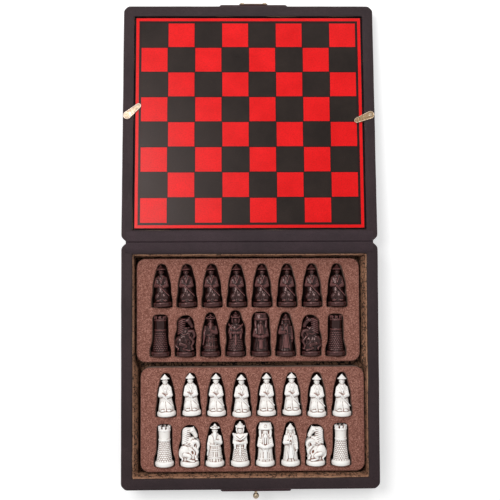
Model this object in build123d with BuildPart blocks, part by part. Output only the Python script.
"""A folding game box, lying open, with a board in its lid and two trays of figure chessmen in its base.

Millimetres. The origin is the middle of the base's underside, +Z is up, the lid opens towards +Y and
the clasp is at -Y. The open lid leans down from the hinge and rests on the table by its far edge.
"""

import os
from math import asin, atan2, cos, degrees, hypot, radians, sin

from build123d import *

os.makedirs("parts", exist_ok=True)

# The two halves of the box
box_width = 260.0  # along X, outside
box_depth = 247.5  # along Y, outside, of each half
base_height = 36.0
lid_height = 19.0
rim_width = 11.3  # from the outer face to the inner edge of the rim
corner_bevel = 4.5
covering = 0.8  # leatherette on the sides and the rim
sheet_thickness = 0.8  # leatherette under the base and over the lid
floor_thickness = 3.2
lid_panel_thickness = 3.2
lining = 1.2  # paper-covered card inside the base
lining_drop = 2.0  # from the rim to the top edge of the lining

# The hinge: one strip of leatherette across the seam, which folds along a round bead
closed_gap = 1.3  # between the two rims when the box is shut
hinge_offset = 1.0  # from the back faces to the fold
strip_width = 9.0
bead_clearance = 0.05
lip_clearance = 0.15

# The game board in the lid
board_thickness = 3.0
board_clearance = 1.6
board_drop = 0.5  # from the lid's rim to the face of the board
ledge_width = 8.0

# The two turn clips
clip_row = 131.4  # from the hinge axis to the clip pivots
clip_inset = 4.6  # from the outer face to the clip pivots
clip_length = 15.8  # pivot to tip
clip_radius = 4.1
clip_tip_radius = 2.3
clip_thickness = 0.9
clip_hollow = 0.3
clip_border = 0.7
left_clip_angle = 40.0
right_clip_angle = 201.6
rivet_radius = 1.1
rivet_head_radius = 2.4
rivet_head_height = 1.0
rivet_head_rim = 0.1  # the straight edge below a head's dome
rivet_length = 8.0
dimple_clearance = 0.6
fit_clearance = 0.05

# The clasp
clasp_x = 5.2
pad_length = 71.0
pad_height = 13.5
pad_thickness = 1.2
pad_drop = 1.0  # from the rim to the edge of the pad
pad_corner = 3.0
plate_length = 29.0
plate_height = 8.4
plate_thickness = 0.6
ear_width = 4.0
ear_radius = 1.3
ear_spacing = 23.6
pin_radius = 0.6
pivot_drop = 3.2  # from the lid's rim to the hasp pin
flap_thickness = 0.9
flap_knuckle_radius = 1.2
flap_hole_radius = 3.6
flap_border = 1.5
flap_corner = 0.8
side_clearance = 0.3
knob_drop = 4.2  # from the base's rim to the knob
ball_radius = 3.1
stem_radius = 1.5
collar_radius = 2.6
collar_thickness = 0.6
knob_catch = 0.15  # between the shut flap and the ball
knob_tail = 7.0
hole_play = 0.4  # how far the flap's hole sits beyond the knob's axis

# The trays
tray_side_room = 3.5  # from the lining to each end of a tray
tray_end_room = 3.0  # from the lining to a tray, at the front and the back
tray_gap = 5.5
tray_drop = 10.0  # from the rim to the top of the trays
tray_corner = 9.0
skirt = 2.0
tray_bed = 1.5  # under the deepest pocket
dark_tray_x = -1.7
white_tray_x = 2.4

# The chessmen lie on their backs, heads towards the hinge
piece_radius = 9.5
foot_height = 4.6
piece_drop = 2.5  # from the rim to the highest point of a lying piece
file_margin = 24.4  # from a tray's end to the middle of the first piece
head_margin = 6.75  # from a tray's back edge to the heads of the pawns
foot_margin = 6.55  # from a tray's front edge to the feet of the other row
row_gap = 3.0  # between the pockets of the two rows
pawn_shift = 1.5
major_shift = -0.1
pawn_spare = 1.3  # what each figure lacks of the mean height that two rows leave room for
rook_spare = 2.9
knight_spare = 3.7
bishop_spare = 0.8
king_spare = 0.3
back_share = 0.82  # the depth of a figure's back, in foot radii
pocket_clearance = 1.3
bed_clearance = 0.3
seam = 0.4  # how far a robe reaches into the foot under it

# Derived places
hinge_y = box_depth / 2 + hinge_offset
hinge_z = base_height + closed_gap / 2
lid_reach = hinge_offset + box_depth
lid_fall = closed_gap / 2 + lid_height
lid_tilt = asin(hinge_z / hypot(lid_reach, lid_fall)) - atan2(lid_fall, lid_reach)
cavity_width = box_width - 2 * rim_width
cavity_depth = box_depth - 2 * rim_width
strip_length = box_width - 2 * corner_bevel
piece_level = base_height - piece_drop - piece_radius
tray_top = base_height - tray_drop
tray_width = cavity_width - 2 * (lining + tray_side_room)
tray_depth = (cavity_depth - tray_gap) / 2 - lining - tray_end_room
piece_pitch = (tray_width - 2 * file_margin) / 7
mean_height = (tray_depth - head_margin - foot_margin - row_gap) / 2 - pocket_clearance
pawn_height = mean_height - pawn_spare
rook_height = mean_height - rook_spare
knight_height = mean_height - knight_spare
bishop_height = mean_height - bishop_spare
king_height = mean_height - king_spare
queen_height = mean_height + pawn_spare
pawn_row = tray_depth / 2 - head_margin - pawn_height  # from the middle of a tray to the feet
major_row = foot_margin - tray_depth / 2
tray_bottom = sheet_thickness + floor_thickness + lining
foot_bed = piece_level - piece_radius - bed_clearance
back_bed = piece_level - back_share * piece_radius - bed_clearance


def lid_point(x, out, up):
    """A point in the lid's own directions: out from the hinge axis, and up from it."""
    y = hinge_y + out * cos(lid_tilt) + up * sin(lid_tilt)
    z = hinge_z - out * sin(lid_tilt) + up * cos(lid_tilt)
    return (x, y, z)


lid_up = (0, sin(lid_tilt), cos(lid_tilt))
lid_out = (0, cos(lid_tilt), -sin(lid_tilt))

# Each half is drawn from its rim downwards
base_rim = Plane.XY.offset(base_height)
lid_rim = Plane(
    origin=lid_point(0, hinge_offset + box_depth / 2, -closed_gap / 2), x_dir=(1, 0, 0), z_dir=lid_up
)
base_front = Plane(origin=(clasp_x, -box_depth / 2, base_height), x_dir=(1, 0, 0), z_dir=(0, -1, 0))
lid_front = Plane(origin=lid_point(clasp_x, lid_reach, -closed_gap / 2), x_dir=(-1, 0, 0), z_dir=lid_out)


def save(piece, name):
    """Label a finished piece and write it to its own file."""
    piece.part.label = name
    export_step(piece.part, f"parts/{name}.step")


def beveled(width, depth, bevel):
    """A rectangle with its four corners cut off."""
    with BuildSketch() as outline:
        Rectangle(width, depth)
        chamfer(outline.vertices(), bevel)
    return outline.sketch


bevel_inside = corner_bevel - covering * (2 - 2**0.5)
outer_outline = beveled(box_width, box_depth, corner_bevel)
core_outline = beveled(box_width - 2 * covering, box_depth - 2 * covering, bevel_inside)


# ---------------------------------------------------------------- the two halves


def make_sheet(rim, height):
    """The leatherette sheet on the outside of the floor or the lid."""
    with BuildPart() as sheet:
        with BuildSketch(rim.offset(-height)):
            add(outer_outline)
        extrude(amount=sheet_thickness)
    return sheet


def make_panel(rim, height, thickness):
    """The board that closes a half, between its four walls."""
    with BuildPart() as panel:
        with BuildSketch(rim.offset(sheet_thickness - height)):
            Rectangle(cavity_width, cavity_depth)
        extrude(amount=thickness)
    return panel


def wall_height(height):
    """How tall a wall board is, between the outer sheet and the leatherette on the rim."""
    return height - sheet_thickness - covering


def make_end_board(rim, height, side):
    """A front or back wall board, as long as the box. side is +1 or -1 along the rim's own Y."""
    with BuildPart() as board:
        with BuildSketch(rim.offset(sheet_thickness - height)):
            add(core_outline)
            with Locations((0, side * (box_depth - rim_width) / 2)):
                Rectangle(box_width, rim_width, mode=Mode.INTERSECT)
        extrude(amount=wall_height(height))
    return board


def make_side_boards(rim, height):
    """The left and right wall boards, which stand between the end boards."""
    with BuildPart() as boards:
        with BuildSketch(rim.offset(sheet_thickness - height)):
            Rectangle(box_width - 2 * covering, cavity_depth)
            Rectangle(cavity_width, cavity_depth, mode=Mode.SUBTRACT)
        extrude(amount=wall_height(height))
    return boards


def make_covering(rim, height, hinge_side):
    """The leatherette on the sides and the rim, open where the hinge strip lies."""
    with BuildPart() as skin:
        with BuildSketch(rim.offset(sheet_thickness - height)):
            add(outer_outline)
        extrude(amount=height - sheet_thickness)
        with BuildSketch(rim.offset(sheet_thickness - height)):
            add(core_outline)
        extrude(amount=wall_height(height), mode=Mode.SUBTRACT)
        with BuildSketch(rim):
            Rectangle(cavity_width, cavity_depth)
        extrude(amount=-height, mode=Mode.SUBTRACT)
        with BuildSketch(rim):
            with Locations((0, hinge_side * (box_depth / 2 - strip_width / 2))):
                Rectangle(strip_length, strip_width)
        extrude(amount=-covering, mode=Mode.SUBTRACT)
    return skin


base_bottom_sheet = make_sheet(base_rim, base_height)
base_floor_board = make_panel(base_rim, base_height, floor_thickness)
base_back_board = make_end_board(base_rim, base_height, 1)
lid_top_sheet = make_sheet(lid_rim, lid_height)
lid_panel = make_panel(lid_rim, lid_height, lid_panel_thickness)
lid_front_board = make_end_board(lid_rim, lid_height, 1)
lid_back_board = make_end_board(lid_rim, lid_height, -1)

# Clip pivots on the lid's rim, and the dimples of the base's rim that they shut into
clip_x = box_width / 2 - clip_inset
clip_y = clip_row - lid_reach + box_depth / 2
dimple_depth = clip_thickness + rivet_head_height + fit_clearance + dimple_clearance / 2 - closed_gap
dimple_y = hinge_y - clip_row


# What is taken out of more than one piece: the dimples, the rivets' holes and the knob's hole
with BuildPart() as dimples:
    with BuildSketch(base_rim):
        with Locations((-clip_x, dimple_y), (clip_x, dimple_y)):
            Circle(rivet_head_radius + dimple_clearance)
    extrude(amount=-dimple_depth)

with BuildPart() as rivet_holes:
    with BuildSketch(lid_rim):
        with Locations((-clip_x, clip_y), (clip_x, clip_y)):
            Circle(rivet_radius + fit_clearance)
    extrude(amount=-rivet_length - fit_clearance)

with BuildPart() as knob_hole:
    with BuildSketch(base_front.offset(pad_thickness)):
        with Locations((0, -knob_drop)):
            Circle(stem_radius + fit_clearance)
    extrude(amount=-pad_thickness - knob_tail - fit_clearance)


def without(piece, *cuts):
    """A piece with these shapes taken out of it."""
    with BuildPart() as rest:
        add(piece.part)
        for cut in cuts:
            add(cut.part, mode=Mode.SUBTRACT)
    return rest


base_side_boards = without(make_side_boards(base_rim, base_height), dimples)
base_covering = without(make_covering(base_rim, base_height, 1), dimples, knob_hole)
base_front_board = without(make_end_board(base_rim, base_height, -1), knob_hole)
lid_side_boards = without(make_side_boards(lid_rim, lid_height), rivet_holes)
lid_covering = without(make_covering(lid_rim, lid_height, -1), rivet_holes)

with BuildPart() as base_lining:
    with BuildSketch(Plane.XY.offset(tray_bottom - lining)):
        Rectangle(cavity_width, cavity_depth)
    extrude(amount=base_height - lining_drop - tray_bottom + lining)
    with BuildSketch(Plane.XY.offset(tray_bottom)):
        Rectangle(cavity_width - 2 * lining, cavity_depth - 2 * lining)
    extrude(amount=base_height, mode=Mode.SUBTRACT)


# ---------------------------------------------------------------- the hinge strip

bead_radius = closed_gap / 2 - bead_clearance
hinge_line = Plane(origin=(-strip_length / 2, hinge_y, hinge_z), x_dir=(0, 1, 0), z_dir=(1, 0, 0))

with BuildPart() as hinge_strip_base:
    with BuildSketch(hinge_line):
        with Locations((-hinge_offset - strip_width / 2, -closed_gap / 2 - covering / 2)):
            Rectangle(strip_width, covering)
        with Locations((-hinge_offset / 2, -closed_gap / 2 - covering / 2)):
            Rectangle(hinge_offset, covering)
        with Locations((-bead_radius / 2, -closed_gap / 2)):
            Rectangle(bead_radius, closed_gap / 2)
        Circle(bead_radius)
    extrude(amount=strip_length)

with BuildPart() as hinge_strip_lid:
    with BuildSketch(lid_rim):
        with Locations((0, (strip_width - box_depth) / 2)):
            Rectangle(strip_length, strip_width)
        with Locations((0, (-box_depth - hinge_offset + lip_clearance) / 2)):
            Rectangle(strip_length, hinge_offset - lip_clearance)
    extrude(amount=-covering)


# ---------------------------------------------------------------- the board and its clips

with BuildPart() as board_ledge:
    with BuildSketch(lid_rim.offset(sheet_thickness + lid_panel_thickness - lid_height)):
        Rectangle(cavity_width, cavity_depth)
        Rectangle(cavity_width - 2 * ledge_width, cavity_depth - 2 * ledge_width, mode=Mode.SUBTRACT)
    extrude(amount=lid_height - sheet_thickness - lid_panel_thickness - board_drop - board_thickness)

with BuildPart() as game_board:
    with BuildSketch(lid_rim.offset(-board_drop)):
        Rectangle(cavity_width - 2 * board_clearance, cavity_depth - 2 * board_clearance)
    extrude(amount=-board_thickness)


def make_clip(pivot_x, angle):
    """A turn clip: a drop-shaped brass plate with a raised border, lying on the rim."""
    along, outward = cos(radians(angle)), sin(radians(angle))
    direction = (along, outward * cos(lid_tilt), -outward * sin(lid_tilt))
    pivot = lid_point(pivot_x, clip_row, -closed_gap / 2)
    seat = Plane(origin=pivot, x_dir=direction, z_dir=lid_up)
    with BuildPart() as clip:
        with BuildSketch(seat):
            Circle(clip_radius)
            with Locations((clip_length, 0)):
                Circle(clip_tip_radius)
            make_hull()
        extrude(amount=clip_thickness)
        with BuildSketch(seat.offset(clip_thickness)):
            with Locations((clip_radius + clip_border, 0)):
                Circle(clip_radius - 2 * clip_border)
            with Locations((clip_length, 0)):
                Circle(clip_tip_radius - clip_border)
            make_hull()
        extrude(amount=-clip_hollow, mode=Mode.SUBTRACT)
        with BuildSketch(seat):
            Circle(rivet_radius + fit_clearance)
        extrude(amount=clip_thickness, mode=Mode.SUBTRACT)
    return clip


clip_left = make_clip(-clip_x, left_clip_angle)
clip_right = make_clip(clip_x, right_clip_angle)

with BuildPart() as clip_rivets:
    with BuildSketch(lid_rim.offset(-rivet_length)):
        with Locations((-clip_x, clip_y), (clip_x, clip_y)):
            Circle(rivet_radius)
    extrude(amount=rivet_length + clip_thickness + fit_clearance)
    with BuildSketch(lid_rim.offset(clip_thickness + fit_clearance)):
        with Locations((-clip_x, clip_y), (clip_x, clip_y)):
            Circle(rivet_head_radius)
    extrude(amount=rivet_head_height)
    head_edges = clip_rivets.faces().sort_by(Axis((0, 0, 0), lid_up))[-2:].edges()
    fillet(head_edges, rivet_head_height - rivet_head_rim)


# ---------------------------------------------------------------- the clasp


def make_pad(front):
    """A flat leatherette-covered pad behind the brass of the clasp."""
    with BuildPart() as pad:
        with BuildSketch(front):
            with Locations((0, -pad_drop - pad_height / 2)):
                RectangleRounded(pad_length, pad_height, pad_corner)
        extrude(amount=pad_thickness)
    return pad


base_clasp_pad = without(make_pad(base_front), knob_hole)
lid_clasp_pad = make_pad(lid_front)

pin_out = pad_thickness + plate_thickness + ear_radius
plate_face = lid_front.offset(pad_thickness)
pin_start = lid_point(clasp_x, lid_reach + pin_out, -closed_gap / 2 - pivot_drop)
pin_line = Plane(origin=pin_start, x_dir=lid_out, z_dir=(1, 0, 0))

with BuildPart() as hasp_plate:
    with BuildSketch(plate_face):
        with Locations((0, -pad_drop - plate_height / 2)):
            RectangleRounded(plate_length, plate_height, flap_corner)
    extrude(amount=plate_thickness)
    for middle in (-ear_spacing / 2, ear_spacing / 2):
        with BuildSketch(pin_line.offset(middle - ear_width / 2)):
            Circle(ear_radius)
            with Locations((-ear_radius / 2, 0)):
                Rectangle(ear_radius, 2 * ear_radius)
        extrude(amount=ear_width)
    with BuildSketch(pin_line.offset(-plate_length / 2)):
        Circle(pin_radius)
    extrude(amount=plate_length, mode=Mode.SUBTRACT)

with BuildPart() as hasp_pin:
    with BuildSketch(pin_line.offset(-plate_length / 2)):
        Circle(pin_radius)
    extrude(amount=plate_length)

# The flap hangs straight down from its pin, clear of the leaning wall
knuckle_length = ear_spacing - ear_width - 2 * side_clearance
hole_reach = pivot_drop + closed_gap + knob_drop + hole_play
flap_level = Plane(origin=pin_start, x_dir=(-1, 0, 0), z_dir=(0, 1, 0)).offset(-flap_thickness / 2)

with BuildPart() as hasp_flap:
    with BuildSketch(flap_level):
        with Locations(*[(side * (knuckle_length / 2 - flap_corner), 0) for side in (-1, 1)]):
            Circle(flap_corner)
        with Locations((0, -hole_reach)):
            Circle(flap_hole_radius + flap_border)
        make_hull()
        with Locations((0, -hole_reach)):
            Circle(flap_hole_radius, mode=Mode.SUBTRACT)
    extrude(amount=flap_thickness)
    with BuildSketch(Plane(origin=pin_start, x_dir=(0, 1, 0), z_dir=(1, 0, 0)).offset(-knuckle_length / 2)):
        Circle(flap_knuckle_radius)
    extrude(amount=knuckle_length)
    with BuildSketch(Plane(origin=pin_start, x_dir=(0, 1, 0), z_dir=(1, 0, 0)).offset(-knuckle_length / 2)):
        Circle(pin_radius + fit_clearance)
    extrude(amount=knuckle_length, mode=Mode.SUBTRACT)

# The knob: a turned ball on a stem, driven into the front board
ball_out = pin_out + flap_thickness / 2 + knob_catch + ball_radius
collar_out = pad_thickness + collar_thickness
knob_axis = Plane(
    origin=(clasp_x, -box_depth / 2, base_height - knob_drop), x_dir=(1, 0, 0), z_dir=(0, 0, 1)
)
with BuildPart() as clasp_knob:
    with BuildSketch(knob_axis):
        with BuildLine():
            Polyline(
                (0, -ball_out),
                (0, knob_tail),
                (stem_radius, knob_tail - stem_radius),
                (stem_radius, -pad_thickness),
                (collar_radius, -pad_thickness),
                (collar_radius, -collar_out),
                (stem_radius, -collar_out),
                (stem_radius, -ball_out),
                (0, -ball_out),
            )
        make_face()
    revolve(axis=Axis((clasp_x, 0, base_height - knob_drop), (0, 1, 0)))
    with Locations((clasp_x, -box_depth / 2 - ball_out, base_height - knob_drop)):
        Sphere(ball_radius)


# ---------------------------------------------------------------- the chessmen
# A figure stands along +Y with its foot at y = 0 and faces +Z. Heights are shares of its own height
# and widths are in foot radii, so a figure keeps its shape at any size.


def foot_disc():
    """The round foot that every figure stands on."""
    with BuildPart() as form:
        with BuildSketch(Plane.XZ):
            Circle(piece_radius)
        extrude(amount=-foot_height)
    return form.part


def trunk(tall, sections):
    """A robe or torso: one smooth body through oval sections (height, half width, half depth)."""
    with BuildPart() as form:
        for share, half_width, half_depth in sections:
            with BuildSketch(Plane.XZ.offset(-share * tall)):
                Ellipse(half_width * piece_radius, half_depth * piece_radius)
        loft()
    return form.part


def ball(tall, share, radius):
    """A round head on the figure's axis."""
    with BuildPart() as form:
        with Locations((0, share * tall, 0)):
            Sphere(radius * piece_radius)
    return form.part


def cone(tall, low, high, low_radius, high_radius):
    """A tower, hat or point, round about the figure's axis."""
    with BuildPart() as form:
        with BuildSketch(Plane.XZ.offset(-low * tall)):
            Circle(low_radius * piece_radius)
        with BuildSketch(Plane.XZ.offset(-high * tall)):
            Circle(high_radius * piece_radius)
        loft()
    return form.part


def limb(tall, start, end, radius):
    """A sleeve, staff or sword from one point to another, with round ends."""
    low, high = (Vector(x * piece_radius, y * tall, z * piece_radius) for x, y, z in (start, end))
    with BuildPart() as form:
        with BuildSketch(Plane(origin=low, z_dir=high - low)):
            Circle(radius * piece_radius)
        extrude(amount=(high - low).length)
        with Locations(low, high):
            Sphere(radius * piece_radius)
    return form.part


def root(tall):
    """The height share at which a form starts, just inside the foot."""
    return (foot_height - seam) / tall


def make_pawn():
    """A kneeling soldier in a cone hat, with a sword across the knees."""
    tall = pawn_height
    with BuildPart() as figure:
        add(foot_disc())
        robe = [(root(tall), 0.84, 0.74), (0.3, 0.8, 0.72), (0.45, 0.72, 0.58), (0.62, 0.64, 0.44)]
        add(trunk(tall, [*robe, (0.71, 0.4, 0.34)]))
        add(trunk(tall, [(0.68, 0.3, 0.3), (0.78, 0.26, 0.26)]))
        add(ball(tall, 0.8, 0.34))
        add(cone(tall, 0.855, 0.87, 0.44, 0.44))
        add(cone(tall, 0.865, 1.0, 0.43, 0.05))
        for side in (-1, 1):
            add(limb(tall, (side * 0.58, 0.63, 0.1), (side * 0.66, 0.42, 0.3), 0.17))
            add(limb(tall, (side * 0.66, 0.42, 0.3), (side * 0.1, 0.4, 0.68), 0.15))
        add(limb(tall, (-0.05, 0.42, 0.78), (0.78, 0.2, 0.62), 0.07))
    return figure.part


def make_rook():
    """A round brick tower with battlements."""
    tall, wide = rook_height, piece_radius
    crown, bore, merlon, floor = 0.64 * wide, 0.44 * wide, 0.22 * wide, 0.93 * tall
    with BuildPart() as figure:
        add(foot_disc())
        add(cone(tall, root(tall), 0.66, 0.82, 0.58))
        add(cone(tall, 0.655, 1.0, 0.62, 0.64))
        with BuildSketch(Plane.XZ.offset(-tall)):
            Circle(bore)
            for turn in (0, 60, 120):
                Rectangle(3 * crown, merlon, rotation=turn)
        extrude(amount=tall - floor, mode=Mode.SUBTRACT)
    return figure.part


def make_knight(side):
    """A rearing horse with its rider's shield, looking to +X or -X. side is +1 or -1."""
    tall, wide = knight_height, piece_radius
    thickness, edge = 0.62 * wide, 0.2 * wide
    profile = [(-0.9, root(tall)), (0.88, root(tall)), (0.86, 0.38), (1.02, 0.48), (0.84, 0.62), (0.76, 0.72)]
    profile += [(0.7, 0.88), (0.5, 1.0), (-0.72, 0.93), (-0.7, 0.64), (-1.04, 0.46), (-0.98, 0.26)]
    with BuildPart() as horse:
        with BuildSketch():
            with BuildLine():
                Polyline(*[(side * x * wide, y * tall) for x, y in profile], close=True)
            make_face()
        extrude(amount=thickness, both=True)
        chamfer(horse.faces().filter_by(Axis.Z).edges(), edge)
    with BuildPart() as figure:
        add(foot_disc())
        add(horse.part)
    return figure.part


def make_bishop():
    """An official with a long beard, one arm across the chest and a staff."""
    tall = bishop_height
    with BuildPart() as figure:
        add(foot_disc())
        robe = [(root(tall), 0.8, 0.74), (0.25, 0.75, 0.68), (0.48, 0.64, 0.55), (0.62, 0.68, 0.5)]
        add(trunk(tall, [*robe, (0.75, 0.42, 0.34)]))
        add(trunk(tall, [(0.72, 0.3, 0.28), (0.82, 0.26, 0.26)]))
        add(ball(tall, 0.82, 0.34))
        add(cone(tall, 0.87, 0.89, 0.44, 0.44))
        add(cone(tall, 0.885, 1.0, 0.36, 0.08))
        add(limb(tall, (0, 0.78, 0.3), (0.04, 0.56, 0.56), 0.14))
        add(limb(tall, (0.6, 0.66, 0.1), (0.62, 0.5, 0.4), 0.17))
        add(limb(tall, (0.62, 0.5, 0.4), (0.1, 0.5, 0.66), 0.15))
        add(limb(tall, (-0.58, 0.66, 0.1), (-0.74, 0.36, 0.3), 0.16))
        add(limb(tall, (-0.8, 0.12, 0.42), (-0.74, 0.6, 0.44), 0.07))
    return figure.part


def make_envoy():
    """The second bishop: a slim official in a pointed cap, with one long sleeve."""
    tall = bishop_height
    with BuildPart() as figure:
        add(foot_disc())
        robe = [(root(tall), 0.82, 0.74), (0.28, 0.76, 0.66), (0.5, 0.68, 0.54), (0.66, 0.62, 0.46)]
        add(trunk(tall, [*robe, (0.76, 0.38, 0.32)]))
        add(trunk(tall, [(0.74, 0.28, 0.28), (0.82, 0.26, 0.26)]))
        add(ball(tall, 0.84, 0.36))
        add(cone(tall, 0.87, 1.0, 0.38, 0.06))
        add(limb(tall, (-0.56, 0.68, 0.1), (-0.72, 0.54, 0.3), 0.17))
        add(limb(tall, (-0.72, 0.54, 0.3), (-0.1, 0.56, 0.62), 0.15))
        add(limb(tall, (0.54, 0.68, 0.1), (0.76, 0.38, 0.28), 0.17))
    return figure.part


def make_queen():
    """A lady with a pointed crown, a wide collar and hanging sleeves."""
    tall = queen_height
    with BuildPart() as figure:
        add(foot_disc())
        robe = [(root(tall), 0.86, 0.74), (0.3, 0.74, 0.6), (0.46, 0.6, 0.5), (0.58, 0.66, 0.48)]
        add(trunk(tall, [*robe, (0.67, 0.62, 0.4)]))
        add(trunk(tall, [(0.64, 0.58, 0.4), (0.705, 0.84, 0.46), (0.725, 0.74, 0.42), (0.75, 0.3, 0.28)]))
        add(trunk(tall, [(0.72, 0.28, 0.28), (0.8, 0.26, 0.26)]))
        add(ball(tall, 0.8, 0.34))
        add(cone(tall, 0.84, 0.9, 0.34, 0.5))
        add(cone(tall, 0.895, 1.0, 0.5, 0.06))
        for side in (-1, 1):
            add(limb(tall, (side * 0.72, 0.68, 0.1), (side * 0.74, 0.5, 0.3), 0.17))
            add(limb(tall, (side * 0.74, 0.5, 0.3), (side * 0.12, 0.54, 0.58), 0.14))
    return figure.part


def make_king():
    """A ruler under a wide flat-topped headdress with hanging side veils."""
    tall = king_height
    with BuildPart() as figure:
        add(foot_disc())
        robe = [(root(tall), 0.88, 0.76), (0.3, 0.8, 0.66), (0.52, 0.8, 0.58), (0.66, 0.7, 0.5)]
        add(trunk(tall, [*robe, (0.77, 0.48, 0.36)]))
        add(trunk(tall, [(0.74, 0.34, 0.3), (0.84, 0.3, 0.28)]))
        add(ball(tall, 0.8, 0.38))
        add(trunk(tall, [(0.86, 0.78, 0.46), (0.9, 0.76, 0.46), (1.0, 0.56, 0.4)]))
        for side in (-1, 1):
            add(limb(tall, (side * 0.58, 0.87, 0.1), (side * 0.56, 0.7, 0.24), 0.15))
            add(limb(tall, (side * 0.7, 0.66, 0.1), (side * 0.84, 0.42, 0.26), 0.17))
            add(limb(tall, (side * 0.84, 0.42, 0.26), (side * 0.1, 0.42, 0.66), 0.14))
    return figure.part


# Pockets seen from above: (height share, half width in foot radii) up one side, to the top of the arch
arched = [(0.26, 0.9), (0.46, 0.84), (0.7, 0.68), (0.88, 0.46)]
wide_shouldered = [(0.26, 0.9), (0.46, 0.9), (0.68, 0.88), (0.8, 0.62), (0.92, 0.46)]
square_topped = [(0.26, 0.86), (0.5, 0.72), (0.85, 0.7), (0.985, 0.62)]
veiled = [(0.26, 0.94), (0.5, 0.94), (0.72, 0.84), (0.88, 0.82), (0.99, 0.58)]
back_side = [(0.3, 1.02), (0.5, 1.02), (0.68, 0.78), (0.86, 0.78), (0.97, 0.5)]
chest_side = [(0.3, 0.96), (0.5, 1.04), (0.7, 0.84), (0.88, 0.74), (0.99, 0.46)]

figures = {
    "pawn": (make_pawn(), pawn_height, arched, arched),
    "rook": (make_rook(), rook_height, square_topped, square_topped),
    "knight": (make_knight(1), knight_height, back_side, chest_side),
    "bishop": (make_bishop(), bishop_height, arched, arched),
    "queen": (make_queen(), queen_height, wide_shouldered, wide_shouldered),
    "king": (make_king(), king_height, veiled, veiled),
    "envoy": (make_envoy(), bishop_height, arched, arched),
    "left_knight": (make_knight(-1), knight_height, chest_side, back_side),
}
pawns = [("pawn", f"pawn_{file + 1}") for file in range(8)]
majors = [
    ("rook", "rook_1"),
    ("knight", "knight_1"),
    ("bishop", "bishop_1"),
    ("queen", "queen"),
    ("king", "king"),
    ("envoy", "bishop_2"),
    ("left_knight", "knight_2"),
    ("rook", "rook_2"),
]


def pocket_outline(tall, left, right):
    """A pocket's outline about its figure's foot, wider than the figure by the pocket clearance."""
    low, high = -pocket_clearance, tall + pocket_clearance
    foot_side = piece_radius + pocket_clearance
    start = foot_height + pocket_clearance
    with BuildSketch() as pocket:
        with BuildLine():
            for sign, stations in ((-1, left), (1, right)):
                side = [(sign * (w * piece_radius + pocket_clearance), h * tall) for h, w in stations]
                Spline((sign * foot_side, start), *side, (0, high), tangents=((0, 1), (-sign, 0)))
                Line((sign * foot_side, low), (sign * foot_side, start))
            Line((-foot_side, low), (foot_side, low))
        make_face()
    return pocket.sketch


def make_tray(tray_x, tray_y):
    """A flocked tray: a thick bed with a pocket for each piece, on a skirt, with its list of places."""
    places = []
    for row, shift, feet in ((pawns, pawn_shift, pawn_row), (majors, major_shift, major_row)):
        for file, (kind, name) in enumerate(row):
            x = tray_x + shift + (file - (len(row) - 1) / 2) * piece_pitch
            places.append((kind, name, x, tray_y + feet))
    with BuildPart() as tray:
        with BuildSketch(Plane.XY.offset(tray_bottom)):
            with Locations((tray_x, tray_y)):
                RectangleRounded(tray_width, tray_depth, tray_corner)
        extrude(amount=tray_top - tray_bottom)
        with BuildSketch(Plane.XY.offset(tray_bottom)):
            with Locations((tray_x, tray_y)):
                RectangleRounded(tray_width - 2 * skirt, tray_depth - 2 * skirt, tray_corner - skirt)
        extrude(amount=foot_bed - tray_bed - tray_bottom, mode=Mode.SUBTRACT)
        for kind, _, x, y in places:
            with BuildSketch(Plane.XY.offset(tray_top)):
                with Locations((x, y)):
                    add(outlines[kind])
            extrude(amount=back_bed - tray_top, mode=Mode.SUBTRACT)
            with BuildSketch(Plane.XY.offset(tray_top)):
                with Locations((x, y + foot_height / 2)):
                    Rectangle(2 * (piece_radius + pocket_clearance), foot_height + 2 * pocket_clearance)
            extrude(amount=foot_bed - tray_top, mode=Mode.SUBTRACT)
    return tray, places


outlines = {kind: pocket_outline(tall, left, right) for kind, (_, tall, left, right) in figures.items()}
tray_y = (tray_depth + tray_gap) / 2
dark_tray, dark_places = make_tray(dark_tray_x, tray_y)
white_tray, white_places = make_tray(white_tray_x, -tray_y)

# ---------------------------------------------------------------- the files

pieces = {
    "base_bottom_sheet": base_bottom_sheet,
    "base_floor_board": base_floor_board,
    "base_front_board": base_front_board,
    "base_back_board": base_back_board,
    "base_side_boards": base_side_boards,
    "base_covering": base_covering,
    "base_lining": base_lining,
    "base_clasp_pad": base_clasp_pad,
    "clasp_knob": clasp_knob,
    "hinge_strip_base": hinge_strip_base,
    "hinge_strip_lid": hinge_strip_lid,
    "lid_top_sheet": lid_top_sheet,
    "lid_panel": lid_panel,
    "lid_front_board": lid_front_board,
    "lid_back_board": lid_back_board,
    "lid_side_boards": lid_side_boards,
    "lid_covering": lid_covering,
    "board_ledge": board_ledge,
    "game_board": game_board,
    "clip_left": clip_left,
    "clip_right": clip_right,
    "clip_rivets": clip_rivets,
    "lid_clasp_pad": lid_clasp_pad,
    "hasp_plate": hasp_plate,
    "hasp_pin": hasp_pin,
    "hasp_flap": hasp_flap,
    "dark_tray": dark_tray,
    "white_tray": white_tray,
}
for name, piece in pieces.items():
    save(piece, name)

for colour, places in (("dark", dark_places), ("white", white_places)):
    for kind, name, x, y in places:
        with BuildPart() as chessman:
            with Locations((x, y, piece_level)):
                add(figures[kind][0])
        save(chessman, f"{colour}_{name}")

print("lid tilt", round(degrees(lid_tilt), 3), "hinge axis", hinge_y, hinge_z)
